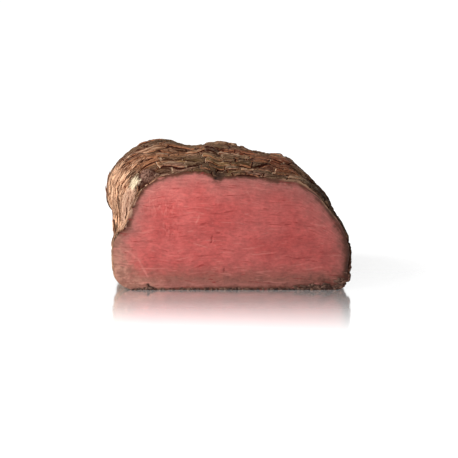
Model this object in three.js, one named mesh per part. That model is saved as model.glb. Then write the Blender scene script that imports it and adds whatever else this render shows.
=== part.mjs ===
// A carved roast beef joint: one lump of muscle with a flat cut face at the front,
// a browned crust of coarse meat strands over the rest, and a flat underside.
// Millimetres, +Z up, the cut face towards -Y, the origin under the middle of the joint.

import * as THREE from "three";
import { mergeVertices } from "three/addons/utils/BufferGeometryUtils.js";

// Driving dimensions of the joint
const CUT_WIDTH = 148;
const CUT_HEIGHT = 75;
const DEPTH = 98;

// The knife's outline of the cut face, from the left foot over the top to the right foot.
// Each point is [share of CUT_WIDTH from the middle, share of CUT_HEIGHT above the board].
const CUT_OUTLINE = [
  [-0.418, 0],
  [-0.44, 0.016],
  [-0.462, 0.045],
  [-0.48, 0.08],
  [-0.489, 0.125],
  [-0.493, 0.213],
  [-0.494, 0.32],
  [-0.489, 0.413],
  [-0.473, 0.459],
  [-0.446, 0.512],
  [-0.436, 0.565],
  [-0.421, 0.665],
  [-0.397, 0.767],
  [-0.379, 0.819],
  [-0.347, 0.884],
  [-0.309, 0.933],
  [-0.274, 0.963],
  [-0.208, 0.987],
  [-0.155, 0.989],
  [-0.107, 0.979],
  [-0.07, 0.973],
  [-0.04, 0.96],
  [-0.006, 0.957],
  [0.047, 0.957],
  [0.101, 0.952],
  [0.155, 0.941],
  [0.209, 0.925],
  [0.249, 0.92],
  [0.28, 0.912],
  [0.305, 0.884],
  [0.351, 0.816],
  [0.376, 0.755],
  [0.417, 0.653],
  [0.451, 0.573],
  [0.472, 0.473],
  [0.487, 0.368],
  [0.492, 0.293],
  [0.489, 0.2],
  [0.488, 0.12],
  [0.482, 0.07],
  [0.465, 0.033],
  [0.443, 0.01],
  [0.418, 0],
];

// The crown line runs in the middle section from the cut's top edge back over the joint and
// down to the board. Each point is [share of DEPTH, share of CUT_HEIGHT].
const CROWN_LINE = [
  [0, 1],
  [0.2, 1.08],
  [0.48, 1.11],
  [0.76, 0.98],
  [0.93, 0.66],
  [1, 0.34],
  [0.98, 0.1],
  [0.94, 0.03],
];

// The strands fan out from a line this far below the board, so they run across the top,
// lean over on the sides and lie level along the back.
const FAN_DEPTH = 62;

// Behind the cut the top of the joint leans to the left, and the whole narrows along the crown
// line to this share of the cut's width.
const SKEW = -0.145;
const BACK_WIDTH_SHARE = 0.58;
const BACK_ROUNDNESS = 3.2;

// Lumps and hollows of the muscle: where each lies, how far it reaches and how high it stands.
const SWELLS = [
  { name: "left shoulder", at: [-68, 40, 59], reach: [24, 30, 20], height: 13 },
  { name: "left waist", at: [-77, 30, 34], reach: [16, 34, 9], height: -4.2 },
  { name: "left crown", at: [-51, 58, 80], reach: [14, 34, 20], height: 4.2 },
  { name: "saddle", at: [-23, 60, 80], reach: [5, 40, 20], height: -1.6 },
  { name: "right crown", at: [-8, 60, 80], reach: [18, 34, 20], height: 4.2 },
  { name: "right dip", at: [19, 60, 74], reach: [8, 40, 16], height: -0.6 },
  { name: "right shoulder", at: [33, 50, 70], reach: [10, 34, 16], height: 0.8 },
  { name: "right fall", at: [44, 26, 68], reach: [12, 30, 16], height: -3.2 },
  { name: "right flank", at: [74, 22, 36], reach: [16, 34, 17], height: -5.4 },
  { name: "fold in the rim", at: [-8.2, 0, 73], reach: [3, 22, 8], height: -2.4 },
];
const SWELL_FADE = 16; // no shoulder lump moves the cut's rim: they grow over this depth

// Coarse strands of the crust, each rising out of its groove, breaking off and wandering
const STRAND_WIDTH = [4.6, 8.6];
const STRAND_HEIGHT = [0.9, 2.6];
const STRAND_ROWS = [0, 0.3, 0.7]; // rows of each strand: its groove, then its two shoulders
const STRAND_LUMP_LENGTH = 12;
const STRAND_FILL = 0.6; // share of a strand's height that stands on average
const STRAND_BREAK = 0.8; // how much that share varies along the strand
const WANDER = 2.8;
const WANDER_LENGTH = 36;

// Crags of the crust, laid over the strands
const CRAG_HEIGHT = 1.3;
const CRAG_LENGTH = 11;
const RIM_CALM = 0.35; // share of strands and crags that shows in the knife's outline
const FOOT_FADE = 8; // strands and crags die out over this height above the board

// Mesh of the solid
const CRUST_COLUMNS = 62;
const BASE_COLUMNS = 8;
const CUT_RINGS = [0.94, 0.82, 0.64, 0.42, 0.2];
const CUT_CENTRE_HEIGHT = 0.44 * CUT_HEIGHT;
const SEED = 7;

const smooth = (t) => {
  const c = THREE.MathUtils.clamp(t, 0, 1);
  return c * c * (3 - 2 * c);
};
const { lerp } = THREE.MathUtils;

// A repeatable random number from 0 to 1 for a whole-number place.
function hash(i, j) {
  const n = Math.sin(i * 127.1 + j * 311.7 + SEED * 74.7) * 43758.5453;
  return n - Math.floor(n);
}

// Smooth noise from -1 to 1.
function noise(u, v) {
  const i = Math.floor(u);
  const j = Math.floor(v);
  const s = smooth(u - i);
  const t = smooth(v - j);
  const near = lerp(hash(i, j), hash(i + 1, j), s);
  const far = lerp(hash(i, j + 1), hash(i + 1, j + 1), s);
  return 2 * lerp(near, far, t) - 1;
}

const spline = (points, width, height) =>
  new THREE.CatmullRomCurve3(
    points.map(([a, b]) => new THREE.Vector3(a * width, b * height, 0)),
    false,
    "centripetal",
  );

const cutCurve = spline(CUT_OUTLINE, CUT_WIDTH, CUT_HEIGHT);
const crownCurve = spline(CROWN_LINE, DEPTH, CUT_HEIGHT);
const cutLength = cutCurve.getLength();
const crownLength = crownCurve.getLength();

// Columns round the joint: along the crust from foot to foot, then back under the base.
function makeColumns() {
  const columns = cutCurve.getSpacedPoints(CRUST_COLUMNS).map((p, i) => ({
    x: p.x,
    rise: Math.max(p.y, 0) / CUT_HEIGHT,
    along: (i / CRUST_COLUMNS) * cutLength,
    onBase: i === 0 || i === CRUST_COLUMNS,
  }));
  const [left, right] = [columns[0].x, columns[CRUST_COLUMNS].x];
  for (let i = 1; i < BASE_COLUMNS; i++)
    columns.push({ x: lerp(right, left, i / BASE_COLUMNS), rise: 0, along: 0, onBase: true });
  return columns;
}

// Rows from the cut to the back: three for each strand, with strands of uneven width.
function makeRows() {
  const rows = [];
  let start = 0;
  for (let strand = 0; start < crownLength; strand++) {
    const width = lerp(...STRAND_WIDTH, hash(strand, 1));
    const height = lerp(...STRAND_HEIGHT, hash(strand, 2));
    for (const share of STRAND_ROWS) {
      const at = start + share * width;
      if (at < crownLength) rows.push({ at, strand, height, ridge: share > 0 ? 1 : 0 });
    }
    start += width;
  }
  rows.push({ at: crownLength, strand: rows.length, height: 0, ridge: 0 });
  return rows;
}

const columns = makeColumns();
const rows = makeRows();

// How wide the joint is at a place along the crown line, as a share of the cut's width.
const widthShare = (place) =>
  lerp(BACK_WIDTH_SHARE, 1, (1 - place ** BACK_ROUNDNESS) ** (1 / BACK_ROUNDNESS));

// A point of the bare form: each row is the cut's outline leaning back in its own plane.
function formPoint(column, row) {
  const fade = Math.sin((Math.PI * row.at) / crownLength);
  const wander = WANDER * fade * noise(column.along / WANDER_LENGTH, row.at / WANDER_LENGTH);
  const place = THREE.MathUtils.clamp((row.at + wander) / crownLength, 0, 1);
  const crown = crownCurve.getPointAt(place);
  const lean = Math.atan2(crown.x, crown.y + FAN_DEPTH);
  const foot = FAN_DEPTH * Math.tan(lean);
  const y = lerp(foot, crown.x, column.rise);
  const x = column.x * widthShare(place) + SKEW * y * column.rise;
  return new THREE.Vector3(x, y, crown.y * column.rise);
}

// How far the muscle's lumps and hollows move a point along its normal.
function swell(p) {
  let sum = 0;
  for (const { at, reach, height } of SWELLS) {
    const d = [p.x - at[0], p.y - at[1], p.z - at[2]].map((v, i) => v / reach[i]);
    const size = height * Math.exp(-(d[0] ** 2 + d[1] ** 2 + d[2] ** 2));
    sum += at[1] === 0 ? size : size * smooth(p.y / SWELL_FADE);
  }
  return sum;
}

// How far the crust's strands and crags move a point along its normal.
function relief(column, row) {
  const lump = noise(column.along / STRAND_LUMP_LENGTH, row.strand);
  const stands = smooth(STRAND_FILL + STRAND_BREAK * lump);
  const strand = row.height * stands * (row.ridge - 0.5);
  const crag = CRAG_HEIGHT * noise(column.along / CRAG_LENGTH, -row.at / CRAG_LENGTH);
  return strand + crag;
}

// The closed skin as a grid, with the cut face and the small patch at the back filled in.
function makeSkin() {
  const points = [];
  const faces = [];
  const count = columns.length;
  for (const row of rows) for (const column of columns) points.push(formPoint(column, row));
  for (let r = 0; r + 1 < rows.length; r++)
    for (let c = 0; c < count; c++) {
      const [a, b] = [r * count + c, r * count + ((c + 1) % count)];
      faces.push(a, b, a + count, b, b + count, a + count);
    }
  return { points, faces, count };
}

// Moves the skin out to its lumps and strands. The cut's rim stays in the knife's plane and
// the underside stays on the board.
function dress({ points, faces, count }) {
  const form = new THREE.BufferGeometry().setFromPoints(points).setIndex(faces);
  form.computeVertexNormals();
  const normals = form.getAttribute("normal");
  points.forEach((p, i) => {
    const row = rows[Math.floor(i / count)];
    const column = columns[i % count];
    if (column.onBase) return;
    const normal = new THREE.Vector3().fromBufferAttribute(normals, i);
    if (row.at === 0) normal.setY(0).normalize();
    const low = smooth(p.z / FOOT_FADE);
    const calm = row.at === 0 ? RIM_CALM : 1;
    p.addScaledVector(normal, swell(p) + low * calm * relief(column, row));
    p.setZ(Math.max(p.z, 0));
  });
}

// The cut face: rings of the rim drawn in towards the middle, all in the knife's plane.
function closeCut({ points, faces, count }) {
  const rim = points.slice(0, count);
  const middle = new THREE.Vector3(0, 0, CUT_CENTRE_HEIGHT);
  let outer = 0;
  for (const share of CUT_RINGS) {
    const inner = points.length;
    for (const p of rim) points.push(new THREE.Vector3().lerpVectors(middle, p, share));
    for (let c = 0; c < count; c++) {
      const d = (c + 1) % count;
      faces.push(outer + c, inner + c, outer + d, outer + d, inner + c, inner + d);
    }
    outer = inner;
  }
  points.push(middle);
  for (let c = 0; c < count; c++)
    faces.push(outer + ((c + 1) % count), outer + c, points.length - 1);
}

// The low patch at the back where the last strand meets the board.
function closeBack({ points, faces, count }) {
  const first = (rows.length - 1) * count;
  const middle = new THREE.Vector3();
  for (let c = 0; c < count; c++) middle.addScaledVector(points[first + c], 1 / count);
  points.push(middle);
  for (let c = 0; c < count; c++)
    faces.push(first + c, first + ((c + 1) % count), points.length - 1);
}

function makeJoint() {
  const skin = makeSkin();
  dress(skin);
  closeCut(skin);
  closeBack(skin);
  const geometry = mergeVertices(
    new THREE.BufferGeometry().setFromPoints(skin.points).setIndex(skin.faces),
  );
  geometry.computeBoundingBox();
  const { min, max } = geometry.boundingBox;
  geometry.translate(-(min.x + max.x) / 2, -(min.y + max.y) / 2, -min.z);
  geometry.computeVertexNormals();
  return geometry;
}

const crust = new THREE.MeshStandardMaterial({ color: 0x7a563d, roughness: 0.7, metalness: 0 });

const joint = new THREE.Mesh(makeJoint(), crust);
joint.name = "roast_joint";

const roast = new THREE.Group();
roast.add(joint);

export default roast;
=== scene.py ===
"""A carved roast beef joint: craggy browned crust, pink cut face, loose strands and crumbs."""

import math

import bmesh
import bpy
import numpy as np
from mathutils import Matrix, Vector, geometry


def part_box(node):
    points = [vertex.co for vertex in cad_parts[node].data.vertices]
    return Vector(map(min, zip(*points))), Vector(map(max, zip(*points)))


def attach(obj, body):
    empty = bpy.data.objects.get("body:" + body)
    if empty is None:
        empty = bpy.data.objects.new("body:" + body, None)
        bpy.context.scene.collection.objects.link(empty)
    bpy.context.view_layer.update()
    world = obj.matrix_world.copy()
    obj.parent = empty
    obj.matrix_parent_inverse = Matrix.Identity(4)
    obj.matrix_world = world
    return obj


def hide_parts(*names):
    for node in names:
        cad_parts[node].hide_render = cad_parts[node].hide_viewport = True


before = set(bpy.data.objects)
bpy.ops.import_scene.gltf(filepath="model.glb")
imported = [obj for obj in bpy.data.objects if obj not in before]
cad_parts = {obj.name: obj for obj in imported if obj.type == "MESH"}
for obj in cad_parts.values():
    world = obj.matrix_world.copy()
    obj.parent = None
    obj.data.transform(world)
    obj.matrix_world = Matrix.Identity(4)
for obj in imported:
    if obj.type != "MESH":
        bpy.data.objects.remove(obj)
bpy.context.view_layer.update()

# The joint's body: a lump of roasted muscle, carved straight across at the front and lying on
# its flat underside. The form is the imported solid's own mesh, merged and made finer, with the
# knife's face and the underside laid again as flat sheets of even triangles.
MM = 0.001
JOINT = "roast_joint"
CRUST, CUT, BASE = range(3)
FLAT = 0.02 * MM
CUT_TRIANGLE = 0.74 * MM
BASE_TRIANGLE = 6 * MM
RIM_ROOM = 0.55  # share of a triangle's size kept free inside the rim
lowest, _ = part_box(JOINT)


def put(name, data):
    """Puts a new object in the scene."""
    piece = bpy.data.objects.new(name, data)
    bpy.context.scene.collection.objects.link(piece)
    return piece


def plain_mesh(piece):
    """The piece's mesh with its modifiers worked in."""
    graph = bpy.context.evaluated_depsgraph_get()
    mesh = bpy.data.meshes.new_from_object(
        piece.evaluated_get(graph), preserve_all_data_layers=True, depsgraph=graph
    )
    piece.modifiers.clear()
    return mesh


def gap_to_run(points, start, end):
    """How far each flat point lies from a straight run."""
    run = np.subtract(end, start)
    share = np.clip((points - start) @ run / (run @ run), 0, 1)
    return np.linalg.norm(points - start - share[:, None] * run, axis=1)


def gap_to_line(points, line):
    """How far each flat point lies from a closed line of flat points."""
    gap = np.full(len(points), np.inf)
    for start, end in zip(line, np.roll(line, -1, axis=0)):
        gap = np.minimum(gap, gap_to_run(points, start, end))
    return gap


def inside_line(points, line):
    """Which flat points lie inside a closed line of flat points."""
    inside = np.zeros(len(points), bool)
    for (ax, ay), (bx, by) in zip(line, np.roll(line, -1, axis=0)):
        if ay == by:
            continue
        crosses = (ay > points[:, 1]) != (by > points[:, 1])
        inside ^= crosses & (points[:, 0] < ax + (points[:, 1] - ay) * (bx - ax) / (by - ay))
    return inside


def rim_of(faces):
    """The vertices round a patch of faces, in order."""
    patch = set(faces)
    follows = {}
    for face in faces:
        for loop in face.loops:
            if sum(f in patch for f in loop.edge.link_faces) == 1:
                follows[loop.vert] = loop.link_loop_next.vert
    rim = [next(iter(follows))]
    while follows[rim[-1]] is not rim[0]:
        rim.append(follows[rim[-1]])
    return rim


def lay_flat(form, kind, axes, size):
    """Lays a flat patch again as even triangles between the same rim."""
    old = [f for f in form.faces if f.material_index == kind]
    rim = rim_of(old)
    level = rim[0].co.copy()
    bmesh.ops.delete(form, geom=old, context="FACES")
    line = np.array([[v.co[axes[0]], v.co[axes[1]]] for v in rim])
    (left, bottom), (right, top) = line.min(0), line.max(0)
    across = np.arange(left, right, size)
    up = np.arange(bottom, top, size * math.sqrt(3) / 2)
    grid = np.array([[u + size / 2 * (i % 2), w] for i, w in enumerate(up) for u in across])
    grid = grid[inside_line(grid, line)]
    grid = grid[gap_to_line(grid, line) > RIM_ROOM * size]
    flat = [Vector(p) for p in np.vstack([line, grid])]
    edges = [(i, (i + 1) % len(rim)) for i in range(len(rim))]
    corners, _, triangles, sources, _, _ = geometry.delaunay_2d_cdt(flat, edges, [], 1, 1e-9)
    laid = []
    for corner, source in zip(corners, sources):
        if source and source[0] < len(rim):
            laid.append(rim[source[0]])
            continue
        place = level.copy()
        place[axes[0]], place[axes[1]] = corner
        laid.append(form.verts.new(place))
    for triangle in triangles:
        around = [laid[i] for i in triangle]
        if kind == BASE:
            around.reverse()
        face = form.faces.new(around)
        face.material_index = kind
        face.smooth = True


form = bmesh.new()
form.from_mesh(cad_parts[JOINT].data)
bmesh.ops.remove_doubles(form, verts=form.verts, dist=FLAT)
for face in form.faces:
    face.smooth = True
    face.material_index = CRUST
    if all(v.co.y < lowest.y + FLAT for v in face.verts):
        face.material_index = CUT
    elif all(v.co.z < lowest.z + FLAT for v in face.verts):
        face.material_index = BASE
bmesh.ops.join_triangles(
    form,
    faces=form.faces,
    cmp_materials=True,
    angle_face_threshold=math.pi,
    angle_shape_threshold=math.pi,
)
crease = form.edges.layers.float.new("crease_edge")
for edge in form.edges:
    if len({f.material_index for f in edge.link_faces}) > 1:
        edge[crease] = 1
rough_form = bpy.data.meshes.new("rough_form")
form.to_mesh(rough_form)
form.free()
joint = put("roast_beef", rough_form)
finer = joint.modifiers.new("finer", "SUBSURF")
finer.levels = finer.render_levels = 2

form = bmesh.new()
form.from_mesh(plain_mesh(joint))
flats = [f for f in form.faces if f.material_index != CRUST]
rim_line = np.array([v.co for v in rim_of([f for f in flats if f.material_index == CUT])])
foot_line = np.array([v.co for v in rim_of([f for f in flats if f.material_index == BASE])])
lay_flat(form, CUT, (0, 2), CUT_TRIANGLE)
lay_flat(form, BASE, (0, 1), BASE_TRIANGLE)
for edge in form.edges:
    edge.smooth = len({f.material_index for f in edge.link_faces}) == 1
smooth_form = bpy.data.meshes.new("smooth_form")
form.to_mesh(smooth_form)
form.free()
joint.data = smooth_form

# Where things lie on the joint: the strands' own directions, how far the knife's face is from
# its rim, where the roasting has coloured the meat, and where painted shade and light lie.
# Each is kept on the mesh for the finishes, the relief and the threads that follow it.
FAN_DEPTH = 62 * MM
FAN_RADIUS = 125 * MM
BACK_LEAN = 0.6
BACK_STRETCH = 0.6
GIRTH_RADIUS = 78 * MM
FOOT_FADE = 5 * MM
RIM_FADE = 2.5 * MM
CUT_HEIGHT = 75 * MM
RIM_DIP = -0.15 * MM
CRUST_DIP = -5 * MM
FOOT_SHARE = 0.35  # share of the relief that stands at the foot
BACK_TURN = (0.3, 0.85)  # how far the crust has turned to the back where its girth gives way
WARM_REACH = 14 * MM
DONE_CURVE = 1.3
BROWN_CURVE = 1.5
UNBROWNED = 0.85  # share of the brown rim that is missing where the face is tan
PALE_RIM = 0.7 * MM
PALE_RIM_X = (24 * MM, 40 * MM)
PALE_RIM_Z = (40 * MM, 50 * MM)
UPPER_RIM = 0.3  # share of the cut's height where its upper rim starts
BEND_RISE = (0.5, 1.0)  # share of the rim's height over which the fibres come to follow it
BEND_X = (-20 * MM, 30 * MM)
LIP_REACH = 1.5 * MM
KNOB_EDGE = (1.15, 0.7)  # where a knob starts to rise and stands in full, in shares of its reach
KNOB_CRACK = (1.1, 0.18)  # where a knob's crack runs, in shares of its reach, and how wide it is
LUMPY_HEIGHT = 1.2 * MM
VECTOR = "FLOAT_VECTOR"

# Patches of the crust: places in millimetres and how far each reaches.
PATCHES = {
    # Painted shade: darker crust over the back, along the top of the crown and down the left edge.
    "dusk": [
        ((0, 25, 70), (200, 34, 80)), ((20, -4, 80), (60, 9, 10)), ((-79, -8, 51), (6, 20, 12)),
    ],
    "olive": [
        ((2, -42, 76), (17, 9, 8)), ((-22, -34, 79), (12, 8, 8)), ((48, -38, 66), (8, 8, 8)),
    ],
    "russet": [
        ((32, -26, 76), (16, 15, 9)), ((8, -16, 82), (18, 6, 8)), ((-58, -22, 76), (9, 12, 9)),
    ],
    "ashen": [
        ((-51, -44, 71), (8, 8, 7)), ((-30, -45, 76), (14, 5, 6)), ((18, -46, 74), (12, 4, 6)),
    ],
    "amber": [((-53, -29, 77), (12, 10, 7)), ((-36, -26, 81), (12, 9, 8))],
    "peach": [
        ((-68, -38, 57), (10, 17, 14)), ((-67, -40, 44), (9, 18, 11)), ((-71, -30, 66), (7, 14, 8)),
    ],
    "membrane": [
        ((-61, -46, 59), (5, 8, 7)), ((-64, -46, 52), (5, 8, 7)), ((-67, -46, 44), (5, 8, 7)),
    ],
    "charred": [
        ((68, -30, 45), (13, 34, 30)), ((76, -38, 20), (9, 24, 16)), ((56, -34, 60), (9, 22, 10)),
        ((-5, -47, 74), (4.5, 4, 6)),
    ],
    "fat": [((-58.6, -42, 67.2), (4.2, 5, 4.2))],
    "stringy": [
        ((-70, -26, 57), (15, 40, 22)), ((-62, -26, 76), (16, 16, 12)), ((-67, -36, 38), (14, 34, 22)),
    ],
    "bare": [((-74, -45, 8), (12, 18, 24))],
    "stacked": [((-6, -36, 78), (52, 18, 14)), ((40, -36, 68), (20, 16, 12))],
}

# Knobs of the crust by the rim and at the right foot: place, reach and height in millimetres.
KNOBS = [
    ((-50, -44.5, 71.5), (5, 5, 4.6), 2.6),
    ((-54, -46, 67), (3, 3.4, 3), 2.2),
    ((-45, -46.5, 72), (3.4, 3, 2.6), 1.4),
    ((75.5, -45.5, 13), (3, 4, 3.4), 1.4),
    ((74.5, -46.5, 7.5), (3, 4, 3), 1.6),
    ((70, -48, 2.5), (3, 3, 2.6), 1.6),
]

# Swells and hollows of the crust: the saddle between the crown's two lobes, lowest on its left,
# and a fold down the left side. Place, reach and height in millimetres.
SWELLS = [
    ((-14, -8, 83), (6, 28, 12), 1.2),
    ((-27, -8, 84), (8, 28, 14), -1.9),
    ((-75, -14, 47), (8, 14, 7), 2.2),
]

# The cooked ring inside the knife's face: x, z, width of the grey ring and of the brown rim.
# The brown rim is partly browned meat and partly painted shadow under the crust's edge.
RING = [
    (-73, 10, 8, 0.4), (-71, 30, 8, 0.6), (-63, 44, 6, 3.0), (-55, 61, 6, 2.8), (-40, 72, 3.4, 2.2),
    (-20, 74, 2.6, 1.6), (0, 71, 3, 2.0), (20, 71, 3.2, 1.8), (40, 68, 5, 3.2), (55, 58, 5.5, 3.8),
    (68, 42, 4.4, 4.2), (75, 18, 4.2, 4.4), (62, 0, 5, 3.8), (0, 0, 5, 2.2), (-45, 0, 5, 1.8),
    (-64, 0, 6, 0.6),
]
RING_BLEND = 4  # how far the widths run into each other, in millimetres

# Marks in the knife's face, each a line of [x, z] in millimetres with its width.
MARKS = {
    "slit": [
        (0.5, [(-9.3, 34.2), (-9.9, 33), (-9.8, 31.5), (-10.4, 30.2)]),
        (0.35, [(-2.2, 13.8), (-2.4, 11.6)]),
    ],
    "hole": [
        (1.3, [(-7.6, 73.5), (-7.3, 70)]),
        (1.0, [(-5.4, 73.5), (-5.2, 71)]),
        (0.9, [(-3.6, 73), (-3.5, 71.4)]),
        (1.1, [(-49.3, 3.2), (-48.8, 2.0)]),
        (0.8, [(-48.8, 2.0), (-45.5, 0.6)]),
    ],
    "seam": [
        (0.7, [(-64, 26), (-59.4, 22.9), (-55.1, 19.1), (-49.6, 8.4)]),
        (0.5, [(-17.5, 47), (-19.6, 42)]),
        (0.5, [(-21, 29.5), (-13, 27)]),
        (0.5, [(54, 41.5), (61, 40.2)]),
        (0.5, [(6.4, 13), (11.3, 12.6)]),
        (0.5, [(12, 62), (14.5, 57)]),
    ],
}

# Patches of the knife's face: places as x and z in millimetres and how far each reaches.
FACE_PATCHES = {
    "stained": [((-6.2, 69.5), (5, 4.5)), ((60, 1), (26, 7.5)), ((73, 5), (9, 10))],
    # Painted light: the upper left of the knife's face made lighter, where the light falls.
    "pale": [((-28, 60), (30, 19))],
    "wavy": [((-40, 53), (9, 6)), ((-35, 37), (6, 5))],
    "tan": [((-70, 12), (13, 17)), ((-60, 2), (16, 7)), ((-71, 32), (6, 8))],
}


def spread(points, places):
    """How strongly a set of patches covers each point, from 0 to 1."""
    cover = np.zeros(len(points))
    for at, reach in places:
        away = ((points / MM - at) / reach) ** 2
        cover = np.maximum(cover, np.exp(-away.sum(1)))
    return cover


def near_marks(points, marks):
    """How close each point of the knife's face lies to a set of marks, 1 on one and 0 off it."""
    close = np.zeros(len(points))
    flat = points[:, [0, 2]] / MM
    for width, line in marks:
        for start, end in zip(line, line[1:]):
            gap = gap_to_run(flat, start, end)
            close = np.maximum(close, np.exp(-((gap / width) ** 2) * 2))
    return close


def keep(mesh, name, values, domain="POINT"):
    """Keeps a value, a vector or a yes or no for each vertex or face on the mesh."""
    kind = "FLOAT" if values.ndim == 1 else VECTOR
    kind = "BOOLEAN" if values.dtype == bool else kind
    field = "vector" if kind == VECTOR else "value"
    attribute = mesh.attributes.new(name, kind, domain)
    attribute.data.foreach_set(field, values.ravel())


def smooth_step(values, start, end):
    """A smooth step of values, from 0 at start to 1 at end."""
    share = np.clip((values - start) / (end - start), 0, 1)
    return share * share * (3 - 2 * share)


def unit(vectors):
    """Vectors made one long, or left at zero."""
    return vectors / np.maximum(np.linalg.norm(vectors, axis=1), 1e-9)[:, None]


def places_of(mesh):
    """The places of a mesh's vertices, one row each."""
    flat = np.empty(len(mesh.vertices) * 3)
    mesh.vertices.foreach_get("co", flat)
    return flat.reshape(-1, 3)


places = places_of(smooth_form)
flat_places = places[:, [0, 2]]
x, y, z = places.T
nothing = np.zeros(len(x))
on_cut = y < lowest.y + FLAT
on_base = z < lowest.z + FLAT

kinds = np.array([polygon.material_index for polygon in smooth_form.polygons])
keep(smooth_form, "on_crust", kinds == CRUST, "FACE")
keep(smooth_form, "on_knife", kinds == CUT, "FACE")
crust_normals = np.zeros((len(x), 3))
is_crust = np.zeros(len(x), bool)
for polygon in smooth_form.polygons:
    if polygon.material_index == CRUST:
        corners = list(polygon.vertices)
        crust_normals[corners] += np.array(polygon.normal) * polygon.area
        is_crust[corners] = True
crust_normals = unit(crust_normals)
lean = np.arctan2(y - lowest.y, z + FAN_DEPTH)
on_back = smooth_step(crust_normals[:, 1], *BACK_TURN)
along = np.arctan2(x, z) * GIRTH_RADIUS * (1 - on_back) + x * on_back
across = (lean + BACK_STRETCH * np.maximum(lean - BACK_LEAN, 0)) * FAN_RADIUS
lift = crust_normals.copy()
lift[on_cut, 1] = 0
lift[on_base, 2] = 0
lift = unit(lift) * (FOOT_SHARE + (1 - FOOT_SHARE) * smooth_step(z, 0, FOOT_FADE))[:, None]
across_fan = np.stack([nothing, np.cos(lean), -np.sin(lean)], axis=1)

rim_gap = np.zeros(len(x))
face_points = on_cut & ~is_crust
rim_gap[face_points] = gap_to_line(places[face_points][:, [0, 2]], rim_line[:, [0, 2]])
ring_places = np.array(RING, float)
apart = np.linalg.norm(flat_places[:, None] / MM - ring_places[None, :, :2], axis=2)
nearness = 1 / (apart + RING_BLEND) ** 3
nearness /= nearness.sum(1)[:, None]
ring_width, brown_and_shadow_width = (nearness @ ring_places[:, 2:] * MM).T
brown = 1 - UNBROWNED * spread(flat_places, FACE_PATCHES["tan"])
upper_right = smooth_step(x, *PALE_RIM_X) * smooth_step(z, *PALE_RIM_Z)
upper_rim = rim_line[rim_line[:, 2] > UPPER_RIM * CUT_HEIGHT]
upper_rim = upper_rim[np.argsort(upper_rim[:, 0])]
rise = z / np.interp(x, upper_rim[:, 0], upper_rim[:, 2])
follow = smooth_step(rise, *BEND_RISE) * smooth_step(x, *BEND_X)
level = z * (1 - follow) + rise * CUT_HEIGHT * follow

knob = nothing
knob_crack = nothing
for at, reach, height in KNOBS:
    away = np.linalg.norm((places / MM - at) / reach, axis=1)
    off_crack = (away - KNOB_CRACK[0]) / KNOB_CRACK[1]
    knob = np.maximum(knob, smooth_step(away, *KNOB_EDGE) * height * MM)
    knob_crack = np.maximum(knob_crack, np.exp(-(off_crack**2)))
lip = spread(places, PATCHES["membrane"]) * np.exp(-(y - lowest.y) / LIP_REACH)

on_points = {
    "grain": np.stack([along, across, nothing], axis=1),
    "lift": lift,
    "strand_run": unit(np.cross(lift, across_fan)),
    "crust": is_crust.astype(float),
    "dip": np.where(on_cut, RIM_DIP, CRUST_DIP),
    "face": smooth_step(rim_gap, 0, RIM_FADE),
    "fibre_run": np.stack([x, level, nothing], axis=1),
    "inward": rim_gap / MM,
    "warmth": np.exp(-rim_gap / WARM_REACH),
    "doneness": np.exp(-((rim_gap / ring_width) ** DONE_CURVE)),
    "browned": np.exp(-((rim_gap / brown_and_shadow_width) ** BROWN_CURVE)) * brown,
    "pale_rim": upper_right * np.exp(-((rim_gap / PALE_RIM) ** 2)),
    "lip": lip * is_crust,
    "knob": knob,
    "knob_crack": knob_crack,
    "lumpy": smooth_step(knob, 0, LUMPY_HEIGHT),
    "swell": sum(height * MM * spread(places, [(at, reach)]) for at, reach, height in SWELLS),
}
for name, marks in MARKS.items():
    on_points[name] = np.where(on_cut, near_marks(places, marks), 0)
for name, patch in PATCHES.items():
    on_points[name] = spread(places, patch)
for name, patch in FACE_PATCHES.items():
    on_points[name] = spread(flat_places, patch)
for name, values in on_points.items():
    keep(smooth_form, name, values)

# The joint's finishes: a roasted crust of short bundles of muscle with dark cracks between them,
# and on the knife's face moist pink meat, grey-brown towards the rim where it cooked through.
# Some of it is painted light and shade: darker crust over the back and left edge, shade between
# the fibres and highlights on them, a brown shadow under the crust's edge, and a knife's face
# lighter at its upper left and darker to the right.
LIGHT_LEVEL = 2.0  # how much brighter the stage's light makes a colour

# The crust's pattern, in millimetres along and across the grain.
BRICK_LENGTH = 12
ROW = 4.2
ROW_UNREST = 2.4
END_UNREST = 0.25
ROW_SHIFT = 31.7
BUNDLE = (1 / 18, 1 / 4.2, 0)
STRING = (1 / 20, 1 / 2.8, 0)
STRAND = (1 / 8, 1 / 1.4, 0)
FIBRE = (1 / 10, 1 / 1.1, 1)


def feed(tree, socket, value):
    """Sets a node's input, or links another node's output to it."""
    if isinstance(value, bpy.types.NodeSocket):
        tree.links.new(value, socket)
    else:
        socket.default_value = value


def add(tree, kind, inputs=(), **settings):
    """Adds a node with its settings and inputs. Returns its outputs."""
    node = tree.nodes.new(kind)
    for name, value in settings.items():
        setattr(node, name, value)
    for name, value in dict(inputs).items():
        feed(tree, node.inputs[name], value)
    return node.outputs


def calc(tree, operation, *values):
    """The result of a Math node."""
    return add(tree, "ShaderNodeMath", enumerate(values), operation=operation)[0]


def plus(tree, *values):
    """The sum of values."""
    total = values[0]
    for value in values[1:]:
        total = calc(tree, "ADD", total, value)
    return total


def times(tree, *values):
    """The product of values."""
    product = values[0]
    for value in values[1:]:
        product = calc(tree, "MULTIPLY", product, value)
    return product


def less(tree, value, taken):
    """One value taken from another."""
    return calc(tree, "SUBTRACT", value, taken)


def stir(tree, value, noise, share):
    """A value made uneven by a share of a noise."""
    return plus(tree, value, times(tree, noise, share))


def turn(tree, operation, *values):
    """The result of a Vector Math node."""
    return add(tree, "ShaderNodeVectorMath", enumerate(values), operation=operation)[0]


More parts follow.
